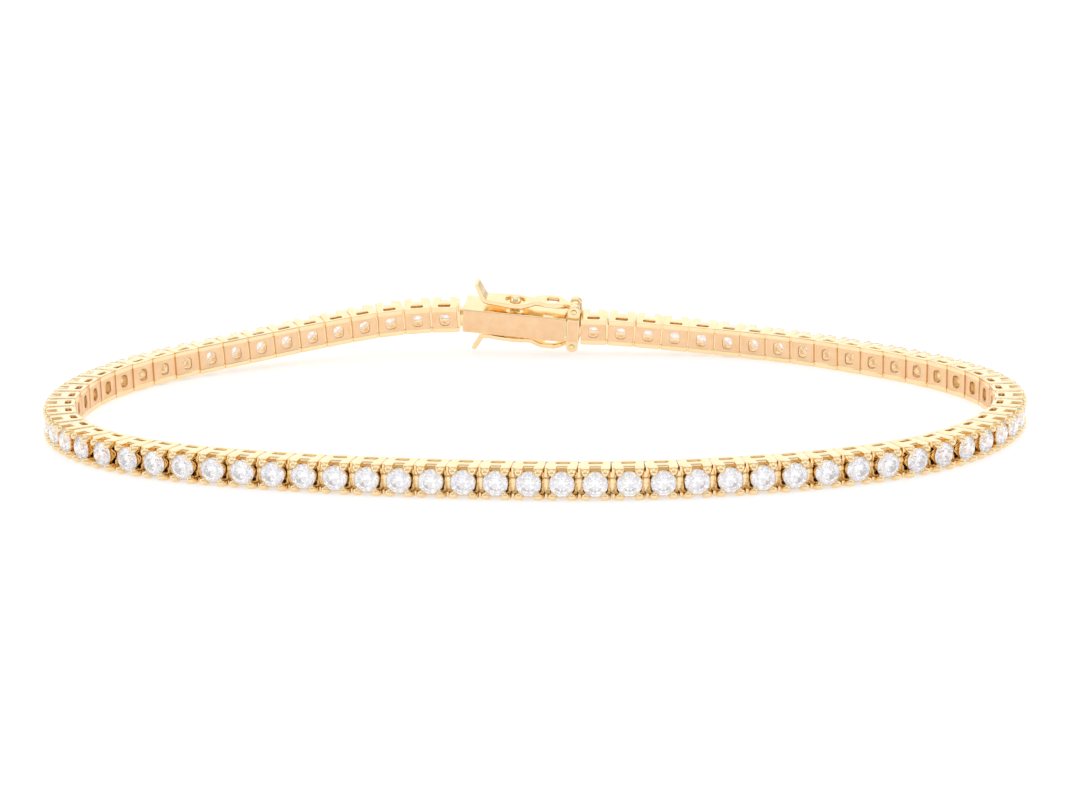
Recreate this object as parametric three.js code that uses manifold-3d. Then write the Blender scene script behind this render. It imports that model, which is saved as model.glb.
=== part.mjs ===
// Tennis bracelet: 76 square box links, each with a round brilliant held by four corner prongs,
// closed by a box clasp with a folded tongue and a hinged safety catch on each side.
// Millimetres, Z up. The bracelet lies on its side: the links stand on their lower side walls.

import * as THREE from 'three';
import { ConvexGeometry } from 'three/addons/geometries/ConvexGeometry.js';
import { mergeVertices } from 'three/addons/utils/BufferGeometryUtils.js';
import Module from 'manifold-3d';

const wasm = await Module();
wasm.setup();

// Chain
const LINK_COUNT = 76;
const PITCH = 2.2;
const LINK_GAP = 0.12;
const RUNNING_GAP = 0.1;
const ROUND_SIDES = 8;

// One link: width along the chain, depth from the wrist outward, height across the band
const LINK_HEIGHT = 2.25;
const PRONG_DEPTH = 2.35;
const PRONG_TIP_DROP = 0.24;
const NOTCH_WIDTH = 0.75;
const NOTCH_FLOOR = 1.35;
const END_NOTCH_HEIGHT = 1.0;
const SLOT_LENGTH = 0.88;
const SLOT_WIDTH = 0.34;
const SLOT_DEPTH = 0.32;
const BASE_RAIL = 0.34;

// Stone
const STONE_SIDES = 8;
const STONE_DIAMETER = 1.75;
const TABLE_DIAMETER = 1.0;
const CROWN_HEIGHT = 0.27;
const PAVILION_DEPTH = 0.76;
const TABLE_DEPTH = 2.27;

// Hinge lug between two links
const LUG_HEIGHT = 0.42;
const LUG_DEPTH = 0.42;
const LUG_BASE = 0.42;
const LUG_REACH = 0.1;

// Hinge where two pieces hook together: an eye on one, a cross pin in a pocket of the other
const EYE_RADIUS = 0.31;
const EYE_HEIGHT = 0.42;
const EYE_PIN_RADIUS = 0.09;
const EYE_INSET = 0.52;
const EYE_DEPTH = 0.6;

// Clasp: box, end plate and tongue
const CLASP_HEADING = -6;
const CLASP_DEPTH = 2.7;
const BOX_START = 0.28;
const BOX_LENGTH = 8.45;
const BOX_HEIGHT = 2.1;
const BOX_WALL = 0.3;
const PLATE_GAP = 0.1;
const PLATE_LENGTH = 1.05;
const PLATE_TO_JOINT = 0.12;
const CLASP_LENGTH = BOX_START + BOX_LENGTH + PLATE_GAP + PLATE_LENGTH + PLATE_TO_JOINT;
const TONGUE_WALL = 0.25;
const TONGUE_WIDTH = 1.6;
const TONGUE_SPRING = 0.95;
const TONGUE_BACK = 0.7;
const SHOULDER_BACK = 0.85;

// Safety catches
const STUD_RADIUS = 0.42;
const STUD_NECK_RADIUS = 0.22;
const STUD_PLACE = 4.4;
const STUD_RISE = 0.5;
const HINGE_RISE = 0.55;
const EAR_RADIUS = 0.5;
const EAR_WIDTH = 0.6;
const KNUCKLE_RADIUS = 0.42;
const KNUCKLE_WIDTH = 0.7;
const CATCH_PIN_RADIUS = 0.18;
const CATCH_WIDTH = 1.9;
const CATCH_WAIST = 1.1;
const CATCH_WALL = 0.38;
const CATCH_HUMP = 0.32;
const CATCH_START = 1.45;
const CATCH_EYE_END = 0.9;
const CATCH_NECK = 1.5;
const CATCH_RAMP_END = 2.0;
const CATCH_WIDENING = 2.3;
const CATCH_WINDOW_START = 2.4;
const CATCH_RIM = 0.6;
const TAB_RISE = 1.4;
const TAB_RUN = 0.85;

// How high the clasp carries the two chain ends off the surface, and over what length
const LIFT_LEFT = 1.95;
const LIFT_RIGHT = 1.0;
const LIFT_SPAN_LEFT = 11.5;
const LIFT_SPAN_RIGHT = 6.2;

// How far the clasp leans its upper side in over the wrist, in degrees, and over what length of chain
const LEAN = 15;
const LEAN_SPAN = 9;

// Route of the chain: travel heading in degrees at 26 even steps, from the clasp's right end
// round the right side, along the front and round the left side to the clasp's left end
const ROUTE_HEADINGS = [
  -3.9, -4.3, -24.7, -39.2, -44.1, -60.1, -89.1, -115.2, -135.1, -156.1, -166.6, -173.3, -182.6,
  -188.1, -190.5, -195.0, -199.9, -212.8, -238.6, -265.2, -284.0, -308.7, -329.3, -336.7, -342.9, -364.4,
];

const gold = new THREE.MeshStandardMaterial({ color: 0xe9c58a, roughness: 0.22, metalness: 1.0 });

function solid(geometry) {
  const bare = new THREE.BufferGeometry();
  bare.setAttribute('position', geometry.getAttribute('position'));
  bare.setIndex(geometry.getIndex());
  const merged = mergeVertices(bare, 1e-5);
  const index = merged.getIndex().array;
  const kept = [];
  for (let i = 0; i < index.length; i += 3) {
    const [a, b, c] = [index[i], index[i + 1], index[i + 2]];
    if (a !== b && b !== c && c !== a) kept.push(a, b, c);
  }
  const mesh = new wasm.Mesh({
    numProp: 3,
    vertProperties: Float32Array.from(merged.getAttribute('position').array),
    triVerts: Uint32Array.from(kept),
  });
  return new wasm.Manifold(mesh);
}

function geometryOf(body) {
  const mesh = body.getMesh();
  const geometry = new THREE.BufferGeometry();
  geometry.setAttribute('position', new THREE.BufferAttribute(Float32Array.from(mesh.vertProperties), 3));
  geometry.setIndex(new THREE.BufferAttribute(Uint32Array.from(mesh.triVerts), 1));
  return geometry;
}

function join(bodies) {
  return wasm.Manifold.union(bodies);
}

function cut(body, tools) {
  return body.subtract(join(tools));
}

function block(x0, x1, y0, y1, z0, z1) {
  const geometry = new THREE.BoxGeometry(x1 - x0, y1 - y0, z1 - z0);
  geometry.translate((x0 + x1) / 2, (y0 + y1) / 2, (z0 + z1) / 2);
  return solid(geometry);
}

// A round bar along Z, standing on z0
function barZ(radius, sides, x, y, z0, z1) {
  const geometry = new THREE.CylinderGeometry(radius, radius, z1 - z0, sides);
  geometry.rotateX(Math.PI / 2);
  geometry.translate(x, y, (z0 + z1) / 2);
  return solid(geometry);
}

// A round bar along Y
function barY(radius, sides, x, z, y0, y1) {
  const geometry = new THREE.CylinderGeometry(radius, radius, y1 - y0, sides, 1, false, Math.PI / sides);
  geometry.translate(x, (y0 + y1) / 2, z);
  return solid(geometry);
}

// A flat outline in X and Z, given as pairs, carried along Y
function slabXZ(points, y0, y1) {
  const shape = new THREE.Shape(points.map(([x, z]) => new THREE.Vector2(x, z)));
  const geometry = new THREE.ExtrudeGeometry(shape, { depth: y1 - y0, bevelEnabled: false });
  geometry.rotateX(Math.PI / 2);
  geometry.translate(0, y1, 0);
  return solid(geometry);
}

// The same outline turned over to the other side of the clasp's middle plane
function mirrored(points) {
  return points.map(([x, z]) => [x, -z]).reverse();
}

// Round brilliant with a table, crown facets and a pointed pavilion, looking out along Y
function stone() {
  const girdleDepth = TABLE_DEPTH - CROWN_HEIGHT;
  const points = [new THREE.Vector3(0, girdleDepth - PAVILION_DEPTH, LINK_HEIGHT / 2)];
  for (let i = 0; i < STONE_SIDES; i += 1) {
    const turn = ((i + 0.5) / STONE_SIDES) * 2 * Math.PI;
    const [across, up] = [Math.cos(turn) / 2, Math.sin(turn) / 2];
    const [girdleX, girdleZ] = [STONE_DIAMETER * across, LINK_HEIGHT / 2 + STONE_DIAMETER * up];
    const [tableX, tableZ] = [TABLE_DIAMETER * across, LINK_HEIGHT / 2 + TABLE_DIAMETER * up];
    points.push(new THREE.Vector3(girdleX, girdleDepth, girdleZ));
    points.push(new THREE.Vector3(tableX, TABLE_DEPTH, tableZ));
  }
  return solid(new ConvexGeometry(points));
}

// A groove along X into a side wall, with a sharp floor; side is 1 for the upper wall, -1 for the lower
function sideGroove(side) {
  const outside = 0.2;
  const spread = (SLOT_WIDTH / 2) * (outside / SLOT_DEPTH);
  const triangle = new THREE.Shape([
    new THREE.Vector2(BASE_RAIL - spread, outside),
    new THREE.Vector2(BASE_RAIL + SLOT_WIDTH / 2, -SLOT_DEPTH),
    new THREE.Vector2(BASE_RAIL + SLOT_WIDTH + spread, outside),
  ]);
  const geometry = new THREE.ExtrudeGeometry(triangle, { depth: SLOT_LENGTH, bevelEnabled: false });
  const toAxes = new THREE.Matrix4();
  toAxes.set(0, 0, 1, -SLOT_LENGTH / 2, 1, 0, 0, 0, 0, 1, 0, LINK_HEIGHT, 0, 0, 0, 1);
  geometry.applyMatrix4(toAxes);
  if (side < 0) {
    geometry.rotateY(Math.PI);
    geometry.translate(0, 0, LINK_HEIGHT);
  }
  return solid(geometry);
}

// A square basket: four prongs over a gallery, with a groove in each side wall and an open base
function linkBody() {
  const half = (PITCH - LINK_GAP) / 2;
  const middle = LINK_HEIGHT / 2;
  const above = PRONG_DEPTH + 1;
  const tipInner = NOTCH_WIDTH / 2;
  const endHalf = END_NOTCH_HEIGHT / 2;
  const outline = [
    [-half, 0],
    [half, 0],
    [half, PRONG_DEPTH - PRONG_TIP_DROP],
    [tipInner, PRONG_DEPTH],
    [-tipInner, PRONG_DEPTH],
    [-half, PRONG_DEPTH - PRONG_TIP_DROP],
  ];
  const shape = new THREE.Shape(outline.map(([x, y]) => new THREE.Vector2(x, y)));
  const basket = solid(new THREE.ExtrudeGeometry(shape, { depth: LINK_HEIGHT, bevelEnabled: false }));
  return cut(basket, [
    block(-tipInner, tipInner, NOTCH_FLOOR, above, -1, LINK_HEIGHT + 1),
    block(-PITCH, PITCH, NOTCH_FLOOR, above, middle - endHalf, middle + endHalf),
    block(-tipInner, tipInner, -1, NOTCH_FLOOR + 1, middle - endHalf, middle + endHalf),
    sideGroove(1),
    sideGroove(-1),
  ]);
}

// A three-sided lug that reaches from one link into the next, centred on the joint between them
function lug() {
  const reach = LINK_GAP / 2 + LUG_REACH;
  const middle = LINK_HEIGHT / 2;
  const section = new THREE.Shape([
    new THREE.Vector2(LUG_BASE, middle),
    new THREE.Vector2(LUG_BASE + LUG_DEPTH, middle - LUG_HEIGHT / 2),
    new THREE.Vector2(LUG_BASE + LUG_DEPTH, middle + LUG_HEIGHT / 2),
  ]);
  const geometry = new THREE.ExtrudeGeometry(section, { depth: 2 * reach, bevelEnabled: false });
  geometry.applyMatrix4(new THREE.Matrix4().set(0, 0, 1, -reach, 1, 0, 0, 0, 0, 1, 0, 0, 0, 0, 0, 1));
  return solid(geometry);
}

// The eye of a hooked joint, reaching along +X past the joint at x = 0
function eye(z) {
  const half = EYE_HEIGHT / 2;
  const neck = EYE_RADIUS * 0.8;
  const root = -LINK_GAP / 2 - LUG_REACH;
  const ring = join([
    barZ(EYE_RADIUS, 8, EYE_INSET, EYE_DEPTH, z - half, z + half),
    block(root, EYE_INSET, EYE_DEPTH - neck, EYE_DEPTH + neck, z - half, z + half),
  ]);
  const bore = EYE_PIN_RADIUS + RUNNING_GAP;
  return cut(ring, [barZ(bore, 8, EYE_INSET, EYE_DEPTH, z - EYE_HEIGHT, z + EYE_HEIGHT)]);
}

// The pocket and cross pin that take an eye, cut into the start of a link whose joint is at x = 0
function pocketed(body, z) {
  const half = EYE_HEIGHT / 2 + RUNNING_GAP;
  const room = EYE_RADIUS + RUNNING_GAP;
  const pocket = block(-1, EYE_INSET + room, EYE_DEPTH - room, EYE_DEPTH + room, z - half, z + half);
  const pin = barZ(EYE_PIN_RADIUS, 6, EYE_INSET, EYE_DEPTH, z - half - 0.15, z + half + 0.15);
  return join([cut(body, [pocket]), pin]);
}

function smoothShare(value, table) {
  const place = Math.min(Math.max(value, 0), 1) * (table.length - 1);
  const low = Math.min(Math.floor(place), table.length - 2);
  return table[low] + (table[low + 1] - table[low]) * (place - low);
}

function lift(distance) {
  const total = LINK_COUNT * PITCH;
  const right = LIFT_RIGHT * Math.exp(-0.5 * (distance / LIFT_SPAN_RIGHT) ** 2);
  const left = LIFT_LEFT * Math.exp(-0.5 * ((total - distance) / LIFT_SPAN_LEFT) ** 2);
  return right + left;
}

function lean(distance) {
  const nearest = Math.min(distance, LINK_COUNT * PITCH - distance);
  return THREE.MathUtils.degToRad(LEAN * Math.exp(-0.5 * (nearest / LEAN_SPAN) ** 2));
}

// Joint points of the chain for two small bending terms, which close the loop on the clasp
function walk(bendA, bendB) {
  const joints = [new THREE.Vector3(0, 0, lift(0))];
  for (let i = 0; i < LINK_COUNT; i += 1) {
    const share = i / (LINK_COUNT - 1);
    const around = share * 2 * Math.PI;
    const bend = bendA * Math.cos(around) + bendB * Math.sin(around);
    const heading = THREE.MathUtils.degToRad(smoothShare(share, ROUTE_HEADINGS) + bend);
    const last = joints[i];
    const rise = lift((i + 1) * PITCH) - last.z;
    const run = Math.sqrt(PITCH * PITCH - rise * rise);
    const [stepX, stepY] = [run * Math.cos(heading), run * Math.sin(heading)];
    joints.push(new THREE.Vector3(last.x + stepX, last.y + stepY, last.z + rise));
  }
  return joints;
}

// The clasp runs from the chain's last joint to its first
function claspVector() {
  const heading = THREE.MathUtils.degToRad(CLASP_HEADING);
  const rise = LIFT_RIGHT - LIFT_LEFT;
  const run = Math.sqrt(CLASP_LENGTH * CLASP_LENGTH - rise * rise);
  return new THREE.Vector2(run * Math.cos(heading), run * Math.sin(heading));
}

function miss(bendA, bendB) {
  const joints = walk(bendA, bendB);
  const end = joints[LINK_COUNT];
  const span = claspVector();
  return [end.x + span.x, end.y + span.y];
}

function closedWalk() {
  let [a, b] = [0, 0];
  for (let round = 0; round < 12; round += 1) {
    const [mx, my] = miss(a, b);
    const [ax, ay] = miss(a + 0.01, b);
    const [bx, by] = miss(a, b + 0.01);
    const [dax, day, dbx, dby] = [(ax - mx) / 0.01, (ay - my) / 0.01, (bx - mx) / 0.01, (by - my) / 0.01];
    const det = dax * dby - dbx * day;
    a -= (mx * dby - my * dbx) / det;
    b -= (dax * my - day * mx) / det;
  }
  return walk(a, b);
}

// A frame at a point: X along the travel, Y away from the wrist, Z up, leaning in by an angle
function frameAt(point, along, leaning) {
  const x = along.clone().normalize();
  const y = new THREE.Vector3(0, 0, 1).cross(x).normalize();
  const z = x.clone().cross(y);
  const upright = new THREE.Matrix4().makeBasis(x, y, z).setPosition(point);
  return upright.multiply(new THREE.Matrix4().makeRotationX(leaning));
}

function placed(body, frame) {
  return body.transform([...frame.elements]);
}

function mesh(name, body) {
  const piece = new THREE.Mesh(geometryOf(body), gold);
  piece.name = name;
  return piece;
}

// Links, lugs and hooked joints
const middle = LINK_HEIGHT / 2;
const joints = closedWalk();
const halfPitch = new THREE.Matrix4().makeTranslation(PITCH / 2, 0, 0);
const plainLink = placed(join([linkBody(), stone()]), halfPitch);
const startLink = pocketed(plainLink, middle);
const jointLug = lug();
const linkEye = eye(middle);

// A half turn about Y swaps a link's two ends and keeps its stone outward
const swapEnds = new THREE.Matrix4().makeTranslation(PITCH, 0, LINK_HEIGHT);
swapEnds.multiply(new THREE.Matrix4().makeRotationY(Math.PI));
const endLink = placed(startLink, swapEnds);

function linkFrame(i) {
  const along = joints[i + 1].clone().sub(joints[i]);
  return frameAt(joints[i], along, lean((i + 0.5) * PITCH));
}

function jointFrame(i) {
  const along = joints[i + 1].clone().sub(joints[i - 1]);
  return frameAt(joints[i], along, lean(i * PITCH));
}

// One half of the chain, from one link up to but not including another
function chain(first, end) {
  const bodies = [];
  for (let i = first; i < end; i += 1) {
    let form = plainLink;
    if (i === first) form = startLink;
    if (i === LINK_COUNT - 1) form = endLink;
    bodies.push(placed(form, linkFrame(i)));
    if (i > first) bodies.push(placed(jointLug, jointFrame(i)));
  }
  return bodies;
}

const half = LINK_COUNT / 2;
const rightBodies = chain(0, half);
const hookFrame = linkFrame(half - 1).multiply(new THREE.Matrix4().makeTranslation(PITCH, 0, 0));
rightBodies.push(placed(linkEye, hookFrame));
const leftBodies = chain(half, LINK_COUNT);

// Clasp, drawn from its left joint at x = 0 to its right joint, with its middle plane at z = 0
const claspFrame = frameAt(joints[LINK_COUNT], joints[0].clone().sub(joints[LINK_COUNT]), lean(0));
claspFrame.multiply(new THREE.Matrix4().makeTranslation(0, 0, middle));

const boxEnd = BOX_START + BOX_LENGTH;
const boxHalf = BOX_HEIGHT / 2;
const plateStart = boxEnd + PLATE_GAP;
const plateEnd = plateStart + PLATE_LENGTH;
const claspMiddle = CLASP_DEPTH / 2;
const hingeX = plateStart + EAR_RADIUS;
const hingeZ = boxHalf + HINGE_RISE;
const studZ = boxHalf + STUD_RISE;
const catchFloor = studZ - CATCH_WALL / 2;
const catchTop = catchFloor + CATCH_WALL;

function stud(side) {
  const ball = new THREE.SphereGeometry(STUD_RADIUS, 8, 5);
  ball.rotateX(Math.PI / 2);
  ball.translate(STUD_PLACE, claspMiddle, side * studZ);
  const neckEnds = [side * (boxHalf - BOX_WALL / 2), side * studZ];
  const [neckLow, neckHigh] = [Math.min(...neckEnds), Math.max(...neckEnds)];
  const neck = barZ(STUD_NECK_RADIUS, 6, STUD_PLACE, claspMiddle, neckLow, neckHigh);
  return join([solid(ball), neck]);
}

// Box: closed round the tongue, open toward the end plate, with a stud on each side
function claspBox() {
  const shell = block(BOX_START, boxEnd, 0, CLASP_DEPTH, -boxHalf, boxHalf);
  const inner = boxHalf - BOX_WALL;
  const cavity = block(BOX_START + BOX_WALL, boxEnd + 1, BOX_WALL, CLASP_DEPTH - BOX_WALL, -inner, inner);
  const root = eye(0);
  const reachHalf = EYE_RADIUS * 0.8;
  const reach = block(0, BOX_START + 0.1, EYE_DEPTH - reachHalf, EYE_DEPTH + reachHalf,
    -EYE_HEIGHT / 2, EYE_HEIGHT / 2);
  const hook = placed(root, turnAroundY());
  return join([cut(shell, [cavity]), stud(1), stud(-1), hook, reach]);
}

// Half a turn about Y, so that an eye points back along -X
function turnAroundY() {
  return new THREE.Matrix4().makeRotationY(Math.PI);
}

// End plate with its ears, and the folded tongue that springs inside the box
function claspTongue() {
  const plate = block(plateStart, plateEnd, 0, CLASP_DEPTH, -boxHalf, boxHalf);
  const bodies = [plate];
  for (const side of [1, -1]) {
    for (const end of [-1, 1]) {
      const inside = claspMiddle + end * (KNUCKLE_WIDTH / 2 + RUNNING_GAP);
      const outside = inside + end * EAR_WIDTH;
      const [y0, y1] = [Math.min(inside, outside), Math.max(inside, outside)];
      const zs = [side * (boxHalf - 0.2), side * hingeZ];
      const cheek = block(hingeX - EAR_RADIUS, hingeX + EAR_RADIUS, y0, y1, Math.min(...zs), Math.max(...zs));
      const round = barY(EAR_RADIUS, ROUND_SIDES, hingeX, side * hingeZ, y0, y1);
      const bore = barY(CATCH_PIN_RADIUS + RUNNING_GAP, ROUND_SIDES, hingeX, side * hingeZ, y0 - 1, y1 + 1);
      bodies.push(cut(join([cheek, round]), [bore]));
    }
  }
  const [y0, y1] = [claspMiddle - TONGUE_WIDTH / 2, claspMiddle + TONGUE_WIDTH / 2];
  const tip = BOX_START + BOX_WALL + TONGUE_BACK;
  const shoulder = boxEnd - SHOULDER_BACK;
  const low = -TONGUE_SPRING / 2;
  const high = TONGUE_SPRING / 2;
  bodies.push(slabXZ([
    [tip, low + TONGUE_WALL * 0.5],
    [tip + TONGUE_WALL, low],
    [plateStart + 0.1, low],
    [plateStart + 0.1, low + TONGUE_WALL],
    [tip + TONGUE_WALL * 3, low + TONGUE_WALL],
    [shoulder, high - TONGUE_WALL],
    [shoulder, high],
    [tip + TONGUE_WALL, low + TONGUE_WALL * 1.8],
  ], y0, y1));
  const hook = placed(eye(0), new THREE.Matrix4().makeTranslation(CLASP_LENGTH, 0, 0));
  const reachHalf = EYE_RADIUS * 0.8;
  const reach = block(plateEnd - 0.1, CLASP_LENGTH, EYE_DEPTH - reachHalf, EYE_DEPTH + reachHalf,
    -EYE_HEIGHT / 2, EYE_HEIGHT / 2);
  return join([...bodies, hook, reach]);
}

// Safety catch: a figure of eight with one eye over the stud, a knuckle on the ears and a thumb tab
function safetyCatch(side) {
  const shoulder = hingeX - EAR_RADIUS - RUNNING_GAP * 2;
  const tabFoot = CATCH_START + TAB_RUN;
  const humpTop = catchTop + CATCH_HUMP;
  const humpFloor = catchFloor + CATCH_HUMP;
  const profile = [
    [tabFoot + CATCH_WALL * 0.3, catchFloor],
    [STUD_PLACE + CATCH_EYE_END, catchFloor],
    [STUD_PLACE + CATCH_RAMP_END, humpFloor - 0.1],
    [hingeX, hingeZ - CATCH_WALL * 0.4],
    [hingeX, hingeZ + CATCH_WALL * 0.9],
    [shoulder - CATCH_RIM, humpTop],
    [STUD_PLACE + CATCH_RAMP_END + 0.1, humpTop],
    [STUD_PLACE + CATCH_EYE_END, catchTop],
    [tabFoot + CATCH_WALL * 0.3, catchTop],
    [CATCH_START + CATCH_WALL * 0.7, catchTop + TAB_RISE],
    [CATCH_START, catchTop + TAB_RISE - CATCH_WALL * 0.5],
  ];
  const [wide, waist, knuckle] = [CATCH_WIDTH / 2, CATCH_WAIST / 2, KNUCKLE_WIDTH / 2];
  const outline = [
    [CATCH_START - 1, wide * 0.6],
    [CATCH_START + 0.6, wide * 0.8],
    [STUD_PLACE - CATCH_RIM, wide],
    [STUD_PLACE + CATCH_RIM, wide],
    [STUD_PLACE + CATCH_NECK, waist],
    [STUD_PLACE + CATCH_WIDENING, wide * 0.9],
    [shoulder - 0.5, wide * 0.9],
    [shoulder, knuckle],
    [hingeX + 1, knuckle],
  ];
  const across = [...outline, ...outline.map(([x, y]) => [x, -y]).reverse()];
  const plan = new THREE.Shape(across.map(([x, y]) => new THREE.Vector2(x, y + claspMiddle)).reverse());
  const tall = 2 * (catchTop + TAB_RISE);
  const flat = new THREE.ExtrudeGeometry(plan, { depth: 2 * tall, bevelEnabled: false });
  flat.translate(0, 0, -tall);
  const points = side > 0 ? profile : mirrored(profile);
  const strip = slabXZ(points, 0, CLASP_DEPTH).intersect(solid(flat));
  const [k0, k1] = [claspMiddle - knuckle, claspMiddle + knuckle];
  const body = join([strip, barY(KNUCKLE_RADIUS, ROUND_SIDES, hingeX, side * hingeZ, k0, k1)]);
  const window = CATCH_WIDTH * 0.25;
  return cut(body, [
    barZ(STUD_RADIUS + RUNNING_GAP, ROUND_SIDES, STUD_PLACE, claspMiddle, -tall, tall),
    block(STUD_PLACE + CATCH_WINDOW_START, shoulder - CATCH_RIM, claspMiddle - window, claspMiddle + window,
      -tall, tall),
    barY(CATCH_PIN_RADIUS + RUNNING_GAP, ROUND_SIDES, hingeX, side * hingeZ, -1, CLASP_DEPTH + 1),
  ]);
}

function catchPin(side) {
  const reach = KNUCKLE_WIDTH / 2 + RUNNING_GAP + EAR_WIDTH;
  return barY(CATCH_PIN_RADIUS, ROUND_SIDES, hingeX, side * hingeZ, claspMiddle - reach, claspMiddle + reach);
}

function inClasp(body) {
  return placed(body, claspFrame);
}

const pieces = [
  mesh('chain_right', join(rightBodies)),
  mesh('chain_left', join(leftBodies)),
  mesh('clasp_box', inClasp(claspBox())),
  mesh('clasp_tongue', inClasp(claspTongue())),
  mesh('safety_catch_upper', inClasp(safetyCatch(1))),
  mesh('safety_catch_lower', inClasp(safetyCatch(-1))),
  mesh('catch_pin_upper', inClasp(catchPin(1))),
  mesh('catch_pin_lower', inClasp(catchPin(-1))),
];

// The bracelet stands on z = 0 with the middle of its box over the origin
const bracelet = new THREE.Group();
bracelet.add(...pieces);
const box = new THREE.Box3().setFromObject(bracelet);
const centre = box.getCenter(new THREE.Vector3());
for (const piece of pieces) {
  piece.geometry.translate(-centre.x, -centre.y, -box.min.z);
}

export default bracelet;
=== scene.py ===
import math

import bmesh
import bpy
from mathutils import Matrix, Vector


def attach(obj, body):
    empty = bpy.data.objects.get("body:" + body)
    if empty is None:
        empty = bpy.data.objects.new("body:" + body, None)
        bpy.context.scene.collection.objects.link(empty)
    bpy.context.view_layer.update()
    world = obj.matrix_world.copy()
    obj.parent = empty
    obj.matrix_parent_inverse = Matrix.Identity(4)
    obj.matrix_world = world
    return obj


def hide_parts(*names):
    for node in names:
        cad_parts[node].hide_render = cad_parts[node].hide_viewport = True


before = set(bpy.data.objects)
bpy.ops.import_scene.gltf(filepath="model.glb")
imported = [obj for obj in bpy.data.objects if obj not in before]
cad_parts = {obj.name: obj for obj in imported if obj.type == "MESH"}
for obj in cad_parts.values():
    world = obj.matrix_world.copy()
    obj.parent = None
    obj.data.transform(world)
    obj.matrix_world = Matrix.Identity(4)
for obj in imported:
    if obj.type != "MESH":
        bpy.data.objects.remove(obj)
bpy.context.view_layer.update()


# Camera: a long lens in front of the bracelet and a little above it, as in a product photograph.
# It looks down by about fourteen degrees and leans very slightly, so the loop fills the frame's width.
MM = 0.001
IMAGE_WIDTH = 1080
FOCAL_PIXELS = 2844.0
CAMERA_AT = Vector((0.514, -207.19, 53.44))
look_down, lean = math.radians(14.219), math.radians(-0.913)
camera_data = bpy.data.cameras.new("product_camera")
camera_data.sensor_width = 36.0
camera_data.lens = FOCAL_PIXELS / IMAGE_WIDTH * camera_data.sensor_width
camera_data.clip_start, camera_data.clip_end = 0.01, 10.0
camera = bpy.data.objects.new("product_camera", camera_data)
bpy.context.scene.collection.objects.link(camera)
camera.matrix_world = (
    Matrix.Translation(CAMERA_AT * MM)
    @ Matrix.Rotation(math.pi / 2 - look_down, 4, "X")
    @ Matrix.Rotation(lean, 4, "Z")
)
bpy.context.scene.camera = camera


# Light: a white light tent. A bright white floor and broad softboxes overhead, behind and at both
# sides make the pale tops and the white ground. A grey card in front gives the beads a darker side.
def linear(hex_colour):
    """sRGB hex to a linear colour with alpha."""
    parts = [int(hex_colour[i : i + 2], 16) / 255 for i in (1, 3, 5)]
    return tuple(c / 12.92 if c <= 0.04045 else ((c + 0.055) / 1.055) ** 2.4 for c in parts) + (1.0,)


def add_node(tree, kind, place, links=(), **settings):
    """Adds a node, sets its properties and sockets, and links (output, socket name) pairs into it."""
    node = tree.nodes.new(kind)
    node.location = place
    for name, value in settings.items():
        if hasattr(node, name):
            setattr(node, name, value)
        else:
            node.inputs[name.replace("_", " ")].default_value = value
    for output, socket in links:
        tree.links.new(output, node.inputs[socket])
    return node


def new_material(name):
    """An empty node material and its tree."""
    material = bpy.data.materials.new(name)
    material.use_nodes = True
    material.node_tree.nodes.clear()
    return material, material.node_tree


def matte(name, tone, **settings):
    """A plain matte material for the studio."""
    material, tree = new_material(name)
    surface = add_node(
        tree, "ShaderNodeBsdfPrincipled", (0, 0), Base_Color=linear(tone), Roughness=0.9, **settings,
    )
    add_node(tree, "ShaderNodeOutputMaterial", (300, 0), [(surface.outputs[0], "Surface")])
    return material


def studio_sheet(name, corners, material):
    """A flat sheet of the studio, which is no part of the bracelet."""
    mesh = bpy.data.meshes.new(name)
    mesh.from_pydata(corners, [], [(0, 1, 2, 3)])
    mesh.materials.append(material)
    sheet = bpy.data.objects.new(name, mesh)
    bpy.context.scene.collection.objects.link(sheet)
    return sheet


bpy.context.scene.view_settings.view_transform = "Standard"
world = bpy.data.worlds.new("white_studio")
world.use_nodes = True
world.node_tree.nodes["Background"].inputs["Color"].default_value = linear("#FFFFFF")
world.node_tree.nodes["Background"].inputs["Strength"].default_value = 0.72
bpy.context.scene.world = world

# Each softbox by its place, turn, side in metres and power in watts
for name, place, turn, size, power in (
    ("softbox_overhead", (0.0, 0.0, 0.42), (0.0, 0.0, 0.0), 0.5, 0.29),
    ("softbox_back", (0.0, 0.45, 0.25), (math.radians(-62), 0.0, 0.0), 0.5, 0.39),
    ("softbox_left", (-0.42, 0.0, 0.2), (0.0, math.radians(-65), 0.0), 0.3, 0.22),
    ("softbox_right", (0.42, 0.0, 0.2), (0.0, math.radians(65), 0.0), 0.3, 0.24),
):
    lamp_data = bpy.data.lights.new(name, "AREA")
    lamp_data.shape = "SQUARE"
    lamp_data.size = size
    lamp_data.energy = power
    lamp = bpy.data.objects.new(name, lamp_data)
    lamp.location = place
    lamp.rotation_euler = turn
    bpy.context.scene.collection.objects.link(lamp)

floor = studio_sheet(
    "floor", [(-3, -3, 0), (3, -3, 0), (3, 3, 0), (-3, 3, 0)],
    matte("white_light_table", "#C8C8C8", Emission_Color=linear("#FFFFFF"), Emission_Strength=0.56),
)

# The grey card stands behind the camera, and the camera doesn't see it from any side
CARD_HALF, CARD_Y, CARD_TOP = 0.6, -0.45, 0.33
card = studio_sheet(
    "grey_card",
    [(side * CARD_HALF, CARD_Y, top) for side, top in ((-1, CARD_TOP), (1, CARD_TOP), (1, 0), (-1, 0))],
    matte("grey_card", "#CCCCCC"),
)
card.visible_camera = False


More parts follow.
